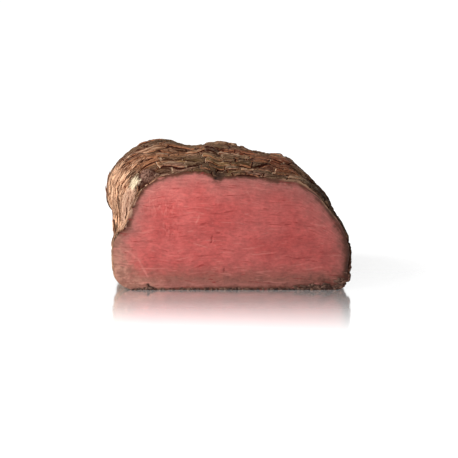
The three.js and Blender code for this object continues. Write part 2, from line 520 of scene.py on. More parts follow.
def stretch(tree, vector, factor):
    """A vector made longer or shorter."""
    inputs = {"Vector": vector, "Scale": factor}
    return add(tree, "ShaderNodeVectorMath", inputs, operation="SCALE")[0]


def split(tree, vector):
    """A vector's three parts."""
    return add(tree, "ShaderNodeSeparateXYZ", {0: vector})


def join(tree, *parts):
    """A vector of up to three parts."""
    return add(tree, "ShaderNodeCombineXYZ", enumerate(parts))[0]


def ease(tree, value, start, end, first=0.0, last=1.0):
    """A smooth step of a value, from first at start to last at end."""
    parts = enumerate((value, start, end, first, last))
    return add(tree, "ShaderNodeMapRange", parts, interpolation_type="SMOOTHSTEP")[0]


def cloud(tree, vector, scale, detail=2.0, roughness=0.5, bend=0.0):
    """A noise texture: its value first, its colour second. A scale of three parts draws it out."""
    if isinstance(scale, tuple):
        vector = turn(tree, "MULTIPLY", vector, scale)
        scale = 1.0
    inputs = {"Vector": vector, "Scale": scale, "Detail": detail}
    inputs |= {"Roughness": roughness, "Distortion": bend}
    return add(tree, "ShaderNodeTexNoise", inputs)


def shade(red, green, blue):
    """A shader's colour for one as it looks under this light, where 255 is white. A pale one that
    mostly lies in shade may be higher."""
    return tuple((c / 255) ** 2.2 / LIGHT_LEVEL for c in (red, green, blue)) + (1.0,)


def tint(tree, factor, under, over):
    """One colour laid over another."""
    return add(tree, "ShaderNodeMix", {"Factor": factor, 6: under, 7: over}, data_type="RGBA")[2]


def lay_over(tree, colour, layers):
    """A colour with others laid over it in turn, each as far as its cover says."""
    for cover, layer in layers:
        colour = tint(tree, cover, colour, layer)
    return colour


def blend(tree, factor, under, over):
    """One value or vector in place of another."""
    return turn(tree, "ADD", under, stretch(tree, turn(tree, "SUBTRACT", over, under), factor))


def read(tree, name, output="Fac"):
    """A value or vector kept on the mesh, read by a material."""
    return add(tree, "ShaderNodeAttribute", attribute_name=name)[output]


def bump(tree, height, distance, strength):
    """A normal raised by a height."""
    inputs = {"Height": height, "Distance": distance, "Strength": strength}
    return add(tree, "ShaderNodeBump", inputs)["Normal"]


def ramp(tree, value, stops):
    """A colour from a row of colours, each at its own value."""
    outputs = add(tree, "ShaderNodeValToRGB", {"Fac": value})
    elements = outputs[0].node.color_ramp.elements
    while len(elements) < len(stops):
        elements.new(1.0)
    for element, (at, colour) in zip(elements, stops):
        element.position = at
        element.color = colour
    return outputs[0]


def new_material(name):
    """A material, its tree and its Principled shader."""
    material = bpy.data.materials.new(name)
    material.use_nodes = True
    return material, material.node_tree, material.node_tree.nodes["Principled BSDF"]


def set_shader(tree, shader, colour, roughness, shine, normal):
    """Gives a shader its colour, roughness, shine and normal."""
    inputs = {"Base Color": colour, "Roughness": roughness}
    inputs |= {"Specular IOR Level": shine, "Normal": normal}
    for name, value in inputs.items():
        feed(tree, shader.inputs[name], value)


def both_cells(tree, inputs, dimensions):
    """A cell texture: how far a place is from its cell's edge, and the cell itself."""
    kind, settings = "ShaderNodeTexVoronoi", {"voronoi_dimensions": dimensions}
    gap = add(tree, kind, inputs, feature="DISTANCE_TO_EDGE", **settings)["Distance"]
    return gap, add(tree, kind, inputs, feature="F1", **settings)


def cells(tree, laid, size):
    """Cells along the grain: how far a place is from its cell's edge, and each cell's tone. The
    gap counts for more towards a cell's ends, so its cracks are as thin there as along it."""
    at = turn(tree, "MULTIPLY", laid, size)
    inputs = {"Vector": at, "Scale": 1.0, "Randomness": 0.85}
    gap, cell = both_cells(tree, inputs, "2D")
    off = split(tree, turn(tree, "ABSOLUTE", turn(tree, "SUBTRACT", at, cell["Position"])))
    endwise = calc(tree, "DIVIDE", off[0], plus(tree, off[0], off[1], 0.001))
    growth = times(tree, calc(tree, "POWER", endwise, 2.0), size[1] / size[0] - 1)
    return times(tree, gap, plus(tree, growth, 1.0)), cell["Color"]


def bricks(tree, laid):
    """Rows of bricks along the grain: how far a place is from its brick's edge, each brick's tone
    and how far its end is."""
    unrest = cloud(tree, laid, (1 / 30, 1 / 10, 0), 1.5)[0]
    along, across, _ = split(tree, laid)
    level = stir(tree, calc(tree, "DIVIDE", across, ROW), unrest, ROW_UNREST)
    row = calc(tree, "FLOOR", level)
    part = less(tree, level, row)
    row_gap = calc(tree, "MINIMUM", part, less(tree, 1.0, part))
    slant = cloud(tree, laid, (1 / 9, 1 / 5, 0), 1.0)[0]
    way = stir(tree, calc(tree, "DIVIDE", along, BRICK_LENGTH), row, ROW_SHIFT)
    way = stir(tree, way, slant, END_UNREST)
    end_gap, brick = both_cells(tree, {"W": way, "Scale": 1.0, "Randomness": 1.0}, "1D")
    end_gap = times(tree, end_gap, BRICK_LENGTH / ROW)
    return calc(tree, "MINIMUM", row_gap, end_gap), brick["Color"], end_gap


def bundles(tree, laid, stacked, stringy):
    """The crust's bundles: bricks where they are stacked, narrow where it is stringy and uneven
    elsewhere. Gives how far a place is from its bundle's edge, its tone and how far its end is."""
    gap, tone = cells(tree, laid, BUNDLE)
    brick_gap, brick_tone, end_gap = bricks(tree, laid)
    string_gap, string_tone = cells(tree, laid, STRING)
    drift = cloud(tree, laid, (1 / 38, 1 / 15, 0), 2.0)[0]
    as_bricks = calc(tree, "GREATER_THAN", stir(tree, drift, stacked, 0.5), 0.6)
    as_strings = calc(tree, "GREATER_THAN", stringy, 0.5)
    gap, tone = join(tree, gap), blend(tree, as_bricks, tone, brick_tone)
    gap = blend(tree, as_bricks, gap, join(tree, brick_gap))
    gap = blend(tree, as_strings, gap, join(tree, string_gap))
    tone = blend(tree, as_strings, tone, string_tone)
    end_gap = plus(tree, end_gap, less(tree, 1.0, as_bricks), as_strings)
    return split(tree, gap)[0], tone, end_gap


def ridged(tree, laid):
    """Fine fibres along the grain: 1 on each one's back and 0 between two."""
    fibre = cloud(tree, laid, FIBRE, 3.0, 0.6, 0.4)[0]
    off_middle = calc(tree, "ABSOLUTE", less(tree, fibre, 0.5))
    return ease(tree, off_middle, 0.16, 0.0)


BUNDLE_BROWNS = [
    (0.0, shade(70, 46, 33)),
    (0.3, shade(90, 65, 45)),
    (0.6, shade(105, 80, 57)),
    (0.85, shade(117, 92, 68)),
    (1.0, shade(148, 113, 86)),
]
PATCH_COLOURS = {
    "dusk": shade(102, 72, 50),
    "olive": shade(124, 96, 60),
    "russet": shade(124, 66, 44),
    "ashen": shade(142, 102, 86),
    "amber": shade(192, 130, 92),
    "peach": shade(276, 212, 168),
    "membrane": shade(228, 181, 153),
    "charred": shade(76, 51, 39),
    "bare": shade(196, 148, 120),
    "fat": shade(272, 248, 208),
}
CRACK = shade(62, 21, 6)
PALE_CRACK = shade(122, 64, 38)
EMBER = shade(190, 122, 86)
# Pale threads and painted highlight, laid on fibre backs and raised hairs.
THREAD_AND_HIGHLIGHT = shade(236, 184, 152)
PALE_END = shade(238, 196, 160)
LUMP_GREY = shade(152, 115, 100)

roasting = bpy.data.node_groups.new("roasting", "ShaderNodeTree")
for name, kind in (("Color", "NodeSocketColor"), ("Amount", "NodeSocketFloat")):
    roasting.interface.new_socket(name, in_out="INPUT", socket_type=kind)
for name, kind in (("Color", "NodeSocketColor"), ("Height", "NodeSocketFloat")):
    roasting.interface.new_socket(name, in_out="OUTPUT", socket_type=kind)
given = roasting.nodes.new("NodeGroupInput").outputs
made = roasting.nodes.new("NodeGroupOutput").inputs
specks = cloud(roasting, add(roasting, "ShaderNodeTexCoord")["Object"], 720, 4.0, 0.68)[0]
burnt = times(roasting, ease(roasting, specks, 0.47, 0.33), given["Amount"])
feed(roasting, made["Color"], tint(roasting, burnt, given["Color"], CRACK))
feed(roasting, made["Height"], specks)


def roast(tree, colour, amount):
    """A colour with the oven's dark specks laid over it, and how high the specks stand."""
    outputs = add(tree, "ShaderNodeGroup", node_tree=roasting)
    feed(tree, outputs[0].node.inputs["Color"], colour)
    feed(tree, outputs[0].node.inputs["Amount"], amount)
    return outputs["Color"], outputs["Height"]


roasted_crust, tree, shader = new_material("roasted_crust")
laid = read(tree, "laid", "Vector")
stacked, stringy, peach = read(tree, "stacked"), read(tree, "stringy"), read(tree, "peach")
charred, lumpy, membrane = read(tree, "charred"), read(tree, "lumpy"), read(tree, "membrane")
gap, tone, end_gap = bundles(tree, laid, stacked, stringy)
tone = split(tree, tone)
back = ridged(tree, laid)
hairs = cloud(tree, laid, (1 / 5, 1 / 0.5, 1), 3.0, 0.6, 0.3)[0]
colour = ramp(tree, tone[0], BUNDLE_BROWNS)
unrest = times(tree, less(tree, tone[1], 0.5), 0.8)
unrest = stir(tree, unrest, less(tree, hairs, 0.5), 0.8)
place = add(tree, "ShaderNodeTexCoord")["Object"]
scorched = cloud(tree, place, 34, 3.0, 0.55)
colour = stretch(tree, colour, ease(tree, scorched[0], 0.3, 0.7, 0.72, 1.25))
for value, name in zip(split(tree, scorched[1]), ("russet", "olive", "charred")):
    cover = ease(tree, stir(tree, value, unrest, 0.2), 0.54, 0.68, 0.0, 0.5)
    colour = tint(tree, cover, colour, PATCH_COLOURS[name])
for name, patch_colour in PATCH_COLOURS.items():
    cover = ease(tree, plus(tree, read(tree, name), unrest), 0.25, 0.75, 0.0, 0.8)
    colour = tint(tree, cover, colour, patch_colour)
crack = tint(tree, ease(tree, peach, 0.15, 0.5, 0.0, 0.9), CRACK, PALE_CRACK)
colour = stretch(tree, colour, ease(tree, tone[2], 0.0, 1.0, 0.55, 1.25))
strand_gap, strand_tone = cells(tree, laid, STRAND)
colour = stretch(tree, colour, ease(tree, split(tree, strand_tone)[0], 0.0, 1.0, 0.8, 1.2))
fine = ease(tree, stringy, 0.3, 0.6, 0.6, 1.0)
# Dark cracks between strands, painted shade in the hollows between fibres, painted highlight on their
# backs, dark hairs, and pale hairs that are partly painted highlight.
fine_lines = (
    (ease(tree, strand_gap, 0.14, 0.04, 0.0, 0.75), crack),
    (ease(tree, back, 0.4, 0.0, 0.0, 0.45), crack),
    (ease(tree, back, 0.8, 1.0, 0.0, 0.35), THREAD_AND_HIGHLIGHT),
    (ease(tree, hairs, 0.48, 0.34, 0.0, 0.4), crack),
    (ease(tree, hairs, 0.56, 0.7, 0.0, 0.3), THREAD_AND_HIGHLIGHT),
)
for cover, line_colour in fine_lines:
    colour = tint(tree, times(tree, cover, fine), colour, line_colour)
dark = stir(tree, charred, unrest, 0.5)
colour = stretch(tree, colour, ease(tree, dark, 0.15, 0.7, 1.0, 0.5))
colour, specks = roast(tree, colour, 0.7)
edge = times(
    tree,
    ease(tree, gap, 0.09, 0.12),
    ease(tree, gap, 0.19, 0.14),
    ease(tree, tone[1], 0.35, 0.6),
    ease(tree, specks, 0.34, 0.5),
    ease(tree, charred, 0.1, 0.4, 0.75, 0.1),
)
tick = times(
    tree,
    ease(tree, end_gap, 0.15, 0.09),
    ease(tree, tone[2], 0.55, 0.65),
    ease(tree, hairs, 0.4, 0.52, 0.1, 0.85),
    ease(tree, stacked, 0.2, 0.5, 0.15, 1.0),
)
along_grain = times(tree, less(tree, hairs, 0.5), 2.0)
bare = stir(tree, read(tree, "bare"), along_grain, 0.4)
skin = stir(tree, membrane, along_grain, 0.6)
fatty = stir(tree, read(tree, "fat"), along_grain, 1.2)
crust_layers = (
    (edge, EMBER),
    (ease(tree, gap, 0.13, 0.06, 0.0, 0.97), crack),
    (tick, PALE_END),
    (times(tree, lumpy, ease(tree, specks, 0.4, 0.52, 0.3, 0.85)), LUMP_GREY),
    (times(tree, lumpy, ease(tree, specks, 0.49, 0.42, 0.0, 0.8)), CRACK),
    (times(tree, read(tree, "knob_crack"), 0.8), CRACK),
    (ease(tree, bare, 0.2, 0.7, 0.0, 0.75), PATCH_COLOURS["bare"]),
    (ease(tree, skin, 0.3, 0.8, 0.0, 0.65), PATCH_COLOURS["membrane"]),
    (times(tree, membrane, ease(tree, specks, 0.5, 0.4, 0.0, 0.6)), PALE_CRACK),
    (ease(tree, fatty, 0.25, 0.9, 0.0, 0.9), PATCH_COLOURS["fat"]),
)
colour = lay_over(tree, colour, crust_layers)
raised = plus(
    tree,
    times(tree, hairs, 0.6),
    times(tree, specks, 0.7),
    ease(tree, strand_gap, 0.0, 0.2, 0.0, 0.6),
    times(tree, back, 0.4),
    ease(tree, gap, 0.0, 0.1, 0.0, 0.8),
)
roughness = ease(tree, specks, 0.3, 0.7, 0.48, 0.8)
set_shader(tree, shader, colour, roughness, 0.05, bump(tree, raised, 0.7 * MM, 0.8))

RARE = shade(192, 84, 80)
PINK = shade(206, 101, 96)
GREY_PINK = shade(176, 108, 100)
TAN_PINK = shade(196, 142, 122)
GREY_BROWN = shade(136, 87, 74)
RIM_BROWN = shade(84, 47, 31)
RIM_BLACK = shade(58, 43, 39)
RIM_PALE = shade(200, 156, 124)
SKIN_EDGE = shade(224, 176, 148)
HOLE_BROWN = shade(34, 20, 15)
DEEP_RED = shade(140, 44, 42)
PALE_FIBRE = shade(230, 142, 130)

cut_meat, tree, shader = new_material("cut_meat")
place = add(tree, "ShaderNodeTexCoord")["Object"]
fibre_run = read(tree, "fibre_run", "Vector")
sway = turn(tree, "SUBTRACT", cloud(tree, place, 45, 2.0)[1], (0.5, 0.5, 0.5))
fibre_run = turn(tree, "ADD", fibre_run, stretch(tree, sway, 6 * MM))
streaks = cloud(tree, fibre_run, (210, 780, 1), 3.0, 0.6, 0.8)[0]
lines = cloud(tree, fibre_run, (75, 640, 1), 3.0, 0.55, 1.0)[0]
mottle = cloud(tree, place, 620, 3.0, 0.6)[0]
ripples = cloud(tree, place, (640, 1, 240), 3.0, 0.5, 0.8)[0]
patches = cloud(tree, place, 48, 3.0, 0.55)[0]
blotches = cloud(tree, place, 170, 3.0, 0.6)[0]
unrest = less(tree, cloud(tree, place, 210, 4.0, 0.65)[0], 0.5)
ragged = less(tree, cloud(tree, place, 150, 4.0, 0.65)[0], 0.5)
inward, wavy, hole = read(tree, "inward"), read(tree, "wavy"), read(tree, "hole")
side, _, height = split(tree, place)

warmth = stir(tree, read(tree, "warmth"), unrest, 0.5)
low = stir(tree, ease(tree, height, 24 * MM, 2 * MM, 0.0, 0.85), unrest, 0.5)
cooked = stir(tree, read(tree, "doneness"), unrest, 0.7)
tan = stir(tree, read(tree, "tan"), unrest, 0.8)
mottled = times(tree, read(tree, "tan"), ease(tree, blotches, 0.55, 0.42, 0.0, 0.6))
stained = plus(tree, read(tree, "stained"), unrest)
stained = stir(tree, stained, less(tree, lines, 0.5), 0.8)
# The brown rim: partly browned meat, partly painted shadow under the crust's edge.
browned = stir(tree, read(tree, "browned"), unrest, 1.2)
burnt = ease(tree, stir(tree, inward, unrest, 3.0), 2.4, 0.4)
burnt = times(tree, burnt, ease(tree, read(tree, "charred"), 0.2, 0.6), 0.6)
ragged = ease(tree, stir(tree, inward, ragged, 15.0), 0.8, 0.3)
ragged = times(tree, ragged, ease(tree, read(tree, "membrane"), 0.1, 0.4), 0.9)
colour = tint(tree, ease(tree, patches, 0.32, 0.68), RARE, PINK)
cooked_layers = (
    (ease(tree, warmth, 0.1, 0.9, 0.0, 0.75), GREY_PINK),
    (ease(tree, low, 0.1, 1.0, 0.0, 0.9), GREY_BROWN),
    (ease(tree, cooked, 0.15, 0.7, 0.0, 0.8), GREY_PINK),
    (ease(tree, cooked, 0.45, 1.0, 0.0, 0.8), GREY_BROWN),
    (ease(tree, tan, 0.0, 1.2, 0.0, 0.8), TAN_PINK),
    (mottled, GREY_BROWN),
    (ease(tree, stained, 0.3, 1.0, 0.0, 0.8), RIM_BROWN),
    (ease(tree, browned, 0.1, 1.0, 0.0, 0.95), RIM_BROWN),
    (burnt, RIM_BLACK),
    (ragged, SKIN_EDGE),
)
colour = lay_over(tree, colour, cooked_layers)
for noise, change in ((blotches, 0.1), (mottle, 0.08), (streaks, 0.12)):
    colour = stretch(tree, colour, ease(tree, noise, 0.3, 0.7, 1 - change, 1 + change))
thin = ease(tree, lines, 0.58, 0.68, 0.0, 0.7)
pale_rim = ease(tree, blotches, 0.35, 0.6, 0.2, 0.8)
marks = (
    (times(tree, thin, ease(tree, blotches, 0.35, 0.6, 0.2, 1.0)), DEEP_RED),
    (ease(tree, lines, 0.41, 0.31, 0.0, 0.35), PALE_FIBRE),
    (times(tree, ease(tree, ripples, 0.52, 0.66, 0.0, 0.45), wavy), PALE_FIBRE),
    (times(tree, ease(tree, ripples, 0.46, 0.34, 0.0, 0.5), wavy), DEEP_RED),
    (times(tree, read(tree, "seam"), ease(tree, blotches, 0.38, 0.6, 0.2, 0.6)), PALE_FIBRE),
    (times(tree, read(tree, "slit"), 0.8), DEEP_RED),
    (times(tree, read(tree, "pale_rim"), pale_rim), RIM_PALE),
    (hole, HOLE_BROWN),
)
colour = lay_over(tree, colour, marks)
# Partly the meat's own tone and partly painted shade: the face darker to the right, away from the
# light.
colour = stretch(tree, colour, ease(tree, side, -62 * MM, 72 * MM, 1.0, 0.77))
# Painted light: lighter towards the upper left, where the light falls.
colour = stretch(tree, colour, ease(tree, read(tree, "pale"), 0.0, 1.0, 1.0, 1.2))
roughness = calc(tree, "MAXIMUM", ease(tree, streaks, 0.3, 0.7, 0.5, 0.65), hole)
raised = plus(tree, streaks, times(tree, lines, 0.5), times(tree, ripples, wavy))
set_shader(tree, shader, colour, roughness, 0.15, bump(tree, raised, 0.35 * MM, 0.35))

# The joint's relief: the crust's bundles with their cracks, fibres and crags, a few knobs, swells
# and hollows, and the much lower fibres, slits and holes of the knife's face. It moves the form's
# own vertices and then gives each face its finish.
BARE_CALM = 0.85  # share of the relief that is missing where the crust is bare


def kept(tree, name, kind="FLOAT"):
    """A value or vector kept on the mesh, read by a mesh's tree."""
    inputs = {"Name": name}
    return add(tree, "GeometryNodeInputNamedAttribute", inputs, data_type=kind)["Attribute"]


def store(tree, geometry, name, kind, value):
    """Keeps a value on each point of a mesh."""
    inputs = {"Geometry": geometry, "Name": name, "Value": value}
    return add(tree, "GeometryNodeStoreNamedAttribute", inputs, data_type=kind)[0]


def new_tree(name, sizes):
    """A mesh's tree with named inputs for its sizes. Returns it with its two ends."""
    tree = bpy.data.node_groups.new(name, "GeometryNodeTree")
    tree.interface.new_socket("Geometry", in_out="INPUT", socket_type="NodeSocketGeometry")
    tree.interface.new_socket("Geometry", in_out="OUTPUT", socket_type="NodeSocketGeometry")
    for size, value in sizes.items():
        kind = "NodeSocketVector" if isinstance(value, tuple) else "NodeSocketFloat"
        tree.interface.new_socket(size, in_out="INPUT", socket_type=kind)
    given = tree.nodes.new("NodeGroupInput").outputs
    made = tree.nodes.new("NodeGroupOutput").inputs
    return tree, given, made


def realize(tree, geometry):
    """Makes instances into plain mesh."""
    return add(tree, "GeometryNodeRealizeInstances", {"Geometry": geometry})[0]


def set_material(tree, geometry, material, selection=True):
    """Gives the chosen faces their finish."""
    inputs = {"Geometry": geometry, "Selection": selection, "Material": material}
    return add(tree, "GeometryNodeSetMaterial", inputs)[0]


def swing(tree, random, reach):
    """A random vector about zero, as far as the reach each way."""
    about_zero = turn(tree, "SUBTRACT", random, (0.5, 0.5, 0.5))
    return turn(tree, "MULTIPLY", stretch(tree, about_zero, 2.0), reach)


def scatter(tree, inputs, noise, height, finish):
    """Shapes set on points, made rough by a noise and given their finish."""
    shapes = realize(tree, add(tree, "GeometryNodeInstanceOnPoints", inputs)[0])
    place = add(tree, "GeometryNodeInputPosition")[0]
    rough = swing(tree, cloud(tree, place, *noise)[1], (1, 1, 1))
    inputs = {"Geometry": shapes, "Offset": stretch(tree, rough, height)}
    shapes = add(tree, "GeometryNodeSetPosition", inputs)[0]
    shapes = add(tree, "GeometryNodeSetShadeSmooth", {"Geometry": shapes})[0]
    return set_material(tree, shapes, finish)


def run_tree(piece, tree, sizes):
    """Runs a tree on a piece with its sizes and leaves the plain mesh, set on the floor."""
    modifier = piece.modifiers.new(tree.name, "NODES")
    modifier.node_group = tree
    for item in tree.interface.items_tree:
        if item.in_out == "INPUT" and item.name in sizes:
            modifier[item.identifier] = sizes[item.name]
    piece.data = plain_mesh(piece)
    places = places_of(piece.data)
    places[:, 2] = np.maximum(places[:, 2], lowest.z)
    piece.data.vertices.foreach_set("co", places.ravel())
    piece.data.update()


relief_sizes = {
    "Lumps": 5 * MM,
    "Crags": 1.6 * MM,
    "Bundles": 1.1 * MM,
    "Strands": 0.3 * MM,
    "Backs": 0.35 * MM,
    "Grit": 0.7 * MM,
    "Bed": 1.0 * MM,
    "Tight": 0.8 * MM,
    "Fibres": 0.16 * MM,
    "Slits": 0.6 * MM,
    "Holes": 1.2 * MM,
    "Lip": 2.2 * MM,
    "Wrinkles": 1.6 * MM,
}
tree, given, made = new_tree("relief", relief_sizes)
place = add(tree, "GeometryNodeInputPosition")[0]
sway = swing(tree, cloud(tree, place, 55, 2.0)[1], (3.0, 1.6, 0.0))
laid = turn(tree, "ADD", stretch(tree, kept(tree, "grain", VECTOR), 1 / MM), sway)
placed = store(tree, given["Geometry"], "laid", VECTOR, laid)
laid = kept(tree, "laid", VECTOR)
gap, tone, _ = bundles(tree, laid, kept(tree, "stacked"), kept(tree, "stringy"))
walls = ease(tree, gap, 0.0, 0.2)
strand_walls = ease(tree, cells(tree, laid, STRAND)[0], 0.0, 0.25)
stand = plus(tree, times(tree, split(tree, tone)[0], 0.9), 0.4)
lumps = times(tree, ease(tree, split(tree, place)[1], 5 * MM, 35 * MM), given["Lumps"])
crags, grit, bulges, wrinkles = (
    less(tree, cloud(tree, place, *noise)[0], 0.5)
    for noise in ((130, 3.0), (520, 3.0, 0.6), (48, 2.0), (420, 3.0, 0.65))
)
crust_rise = plus(
    tree,
    less(tree, times(tree, walls, stand, given["Bundles"]), given["Bed"]),
    times(tree, strand_walls, given["Strands"]),
    times(tree, walls, ridged(tree, laid), given["Backs"]),
    times(tree, crags, given["Crags"]),
    times(tree, grit, given["Grit"]),
    times(tree, bulges, lumps),
)
smooth = less(tree, 1.0, times(tree, kept(tree, "bare"), BARE_CALM))
crust_rise = plus(
    tree,
    times(tree, crust_rise, smooth),
    kept(tree, "knob"),
    times(tree, wrinkles, kept(tree, "membrane"), given["Wrinkles"]),
    kept(tree, "swell"),
)
crust_rise = less(tree, crust_rise, times(tree, kept(tree, "charred"), given["Tight"]))
crust_rise = calc(tree, "MAXIMUM", crust_rise, kept(tree, "dip"))
crust_rise = times(tree, crust_rise, kept(tree, "crust"))
crust_move = stretch(tree, kept(tree, "lift", VECTOR), crust_rise)
fibre_run = kept(tree, "fibre_run", VECTOR)
fibres = less(tree, cloud(tree, fibre_run, (150, 760, 1), 3.0, 0.6, 0.6)[0], 0.5)
face_rise = times(tree, fibres, given["Fibres"])
for mark, depth in (("slit", "Slits"), ("hole", "Holes")):
    face_rise = less(tree, face_rise, times(tree, kept(tree, mark), given[depth]))
face_rise = times(tree, face_rise, kept(tree, "face"))
flaps = ease(tree, cloud(tree, place, 260, 3.0, 0.6)[0], 0.35, 0.65)
face_rise = plus(tree, face_rise, times(tree, flaps, kept(tree, "lip"), given["Lip"]))
face_move = join(tree, 0.0, times(tree, face_rise, -1.0))
inputs = {"Geometry": placed, "Offset": turn(tree, "ADD", crust_move, face_move)}
moved = realize(tree, add(tree, "GeometryNodeSetPosition", inputs)[0])
dressed = set_material(tree, moved, roasted_crust)
dressed = set_material(tree, dressed, cut_meat, kept(tree, "on_knife", "BOOLEAN"))
feed(tree, made["Geometry"], dressed)
run_tree(joint, tree, relief_sizes)
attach(joint, "root")
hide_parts(JOINT)

# The crust's threads: thin pale fibres that have come loose along the bundles, few over the
# crown, more on its left lobe, and long dry ones down the left shoulder.
THREAD_COVER = 0.06
LOBE_COVER = 0.6
SHOULDER_COVER = 0.9
FOOT_CLEAR = (8 * MM, 20 * MM)
BACK_CLEAR = (10 * MM, -10 * MM)
THREAD_STEPS = 8
THREAD_SIDES = 5
THREAD_TAPER = 0.9
JITTER = 0.4  # share of the spacing


def draw(tree, *numbers):
    """Random numbers from 0 to 1 for a set of numbers: one value and one vector."""
    outputs = add(tree, "ShaderNodeTexWhiteNoise", {"Vector": join(tree, *numbers)})
    return outputs["Value"], outputs["Color"]


def thread_shape(tree):
    """One thread as a tapered bar of unit size, with its own places kept on it."""
    inputs = {"Start": (-0.5, 0, 0), "End": (0.5, 0, 0)}
    line = add(tree, "GeometryNodeCurvePrimitiveLine", inputs)[0]
    line = add(tree, "GeometryNodeResampleCurve", {"Curve": line, "Count": THREAD_STEPS})[0]
    inputs = {"Resolution": THREAD_SIDES, "Radius": 0.5}
    section = add(tree, "GeometryNodeCurvePrimitiveCircle", inputs)[0]
    way = add(tree, "GeometryNodeSplineParameter")["Factor"]
    off_middle = calc(tree, "ABSOLUTE", less(tree, times(tree, way, 2.0), 1.0))
    taper = less(tree, 1.0, times(tree, calc(tree, "POWER", off_middle, 2.0), THREAD_TAPER))
    inputs = {"Curve": line, "Profile Curve": section, "Scale": taper, "Fill Caps": True}
    bar = add(tree, "GeometryNodeCurveToMesh", inputs)[0]
    return store(tree, bar, "bar", VECTOR, add(tree, "GeometryNodeInputPosition")[0])


def lay_threads(name, cover, seed, sizes, finish):
    """A piece of threads laid in rows over the crust, each with its own place, tilt and tone."""
    sizes = {"Reach": REACH, "Middle": MIDDLE, **sizes}
    tree, given, made = new_tree(name, sizes)
    inputs = {"Geometry": given["Geometry"], "Selection": kept(tree, "on_crust", "BOOLEAN")}
    crust = add(tree, "GeometryNodeSeparateGeometry", inputs, domain="FACE")["Selection"]
    counts = turn(tree, "DIVIDE", given["Reach"], given["Spacing"])
    inputs = {"Vertices X": split(tree, counts)[0], "Vertices Y": split(tree, counts)[1]}
    inputs |= {"Size X": split(tree, given["Reach"])[0], "Size Y": split(tree, given["Reach"])[1]}
    points = add(tree, "GeometryNodeMeshGrid", inputs)["Mesh"]

    place = add(tree, "GeometryNodeInputPosition")[0]
    number = add(tree, "GeometryNodeInputIndex")[0]
    row_shift = draw(tree, split(tree, place)[1], 0.0, seed)[0]
    row_shift = stretch(tree, turn(tree, "MULTIPLY", given["Spacing"], (1, 0, 0)), row_shift)
    drift = swing(tree, cloud(tree, place, 45, 2.0)[1], given["Wander"])
    jitter = stretch(tree, swing(tree, draw(tree, number, 1.0, seed)[1], given["Spacing"]), JITTER)
    spot = turn(tree, "ADD", turn(tree, "ADD", place, given["Middle"]), row_shift)
    spot = turn(tree, "ADD", turn(tree, "ADD", spot, drift), jitter)
    points = store(tree, points, "spot", VECTOR, spot)
    points = store(tree, points, "number", "FLOAT", number)
    spot = kept(tree, "spot", VECTOR)
    number = kept(tree, "number")

    def on_crust(value, kind):
        """A value of the crust under each thread."""
        inputs = {"Mesh": crust, "Value": value, "Sample UV": spot}
        inputs["UV Map"] = kept(tree, "grain", VECTOR)
        return add(tree, "GeometryNodeSampleUVSurface", inputs, data_type=kind)

    seat = on_crust(place, VECTOR)
    normal = turn(tree, "NORMALIZE", on_crust(kept(tree, "lift", VECTOR), VECTOR)[0])
    run = on_crust(kept(tree, "strand_run", VECTOR), VECTOR)[0]
    rim_room = times(tree, split(tree, given["Size"])[1], 0.5)
    stays = calc(tree, "GREATER_THAN", split(tree, spot)[1], rim_room)
    wanted = on_crust(kept(tree, cover), "FLOAT")[0]
    chosen = calc(tree, "LESS_THAN", draw(tree, number, 2.0, seed)[0], wanted)
    stays = times(tree, stays, chosen, seat["Is Valid"])
    inputs = {"Geometry": points, "Selection": less(tree, 1.0, stays)}
    points = add(tree, "GeometryNodeDeleteGeometry", inputs)[0]
    for patch in PATCHES:
        points = store(tree, points, patch, "FLOAT", on_crust(kept(tree, patch), "FLOAT")[0])
    points = store(tree, points, "tone", VECTOR, draw(tree, number, 3.0, seed)[1])

    rise = less(tree, draw(tree, number, 4.0, seed)[0], 0.5)
    rise = plus(tree, times(tree, rise, given["Unrest"]), given["Seat"])
    inputs = {"Geometry": points}
    inputs["Position"] = turn(tree, "ADD", seat[0], stretch(tree, normal, rise))
    points = add(tree, "GeometryNodeSetPosition", inputs)[0]
    inputs = {"Primary Axis": normal, "Secondary Axis": run}
    facing = add(tree, "FunctionNodeAxesToRotation", inputs, primary_axis="Z", secondary_axis="X")[0]
    tilt = swing(tree, draw(tree, number, 5.0, seed)[1], given["Tilt"])
    tilt = add(tree, "FunctionNodeEulerToRotation", {"Euler": tilt})[0]
    inputs = {"Rotation": facing, "Rotate By": tilt}
    facing = add(tree, "FunctionNodeRotateRotation", inputs, rotation_space="LOCAL")[0]
    growth = swing(tree, draw(tree, number, 6.0, seed)[1], given["Unevenness"])
    growth = turn(tree, "MULTIPLY", turn(tree, "ADD", growth, (1, 1, 1)), given["Size"])
    inputs = {"Points": points, "Instance": thread_shape(tree), "Rotation": facing, "Scale": growth}
    bars = scatter(tree, inputs, (220, 3.0, 0.6), given["Crumple"], finish)
    feed(tree, made["Geometry"], bars)

    piece = put(name, joint.data)
    run_tree(piece, tree, sizes)
    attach(piece, "root")


girth, fan = along[is_crust], across[is_crust]
REACH = (float(np.ptp(girth)), float(np.ptp(fan)), 1.0)
MIDDLE = (float(girth.min() + girth.max()) / 2, float(fan.min() + fan.max()) / 2, 0.0)
shoulder = spread(places, PATCHES["peach"])
lobe = spread(places, PATCHES["stringy"])
clear = np.ones(len(places))
for name in ("bare", "membrane", "charred", "ashen", "olive"):
    clear *= 1 - spread(places, PATCHES[name])
clear *= smooth_step(z, *FOOT_CLEAR) * smooth_step(y, *BACK_CLEAR)
keep(joint.data, "thread_cover", (THREAD_COVER + LOBE_COVER * lobe) * (1 - shoulder) * clear)
keep(joint.data, "shoulder_cover", SHOULDER_COVER * smooth_step(shoulder, 0.15, 0.5) * clear)

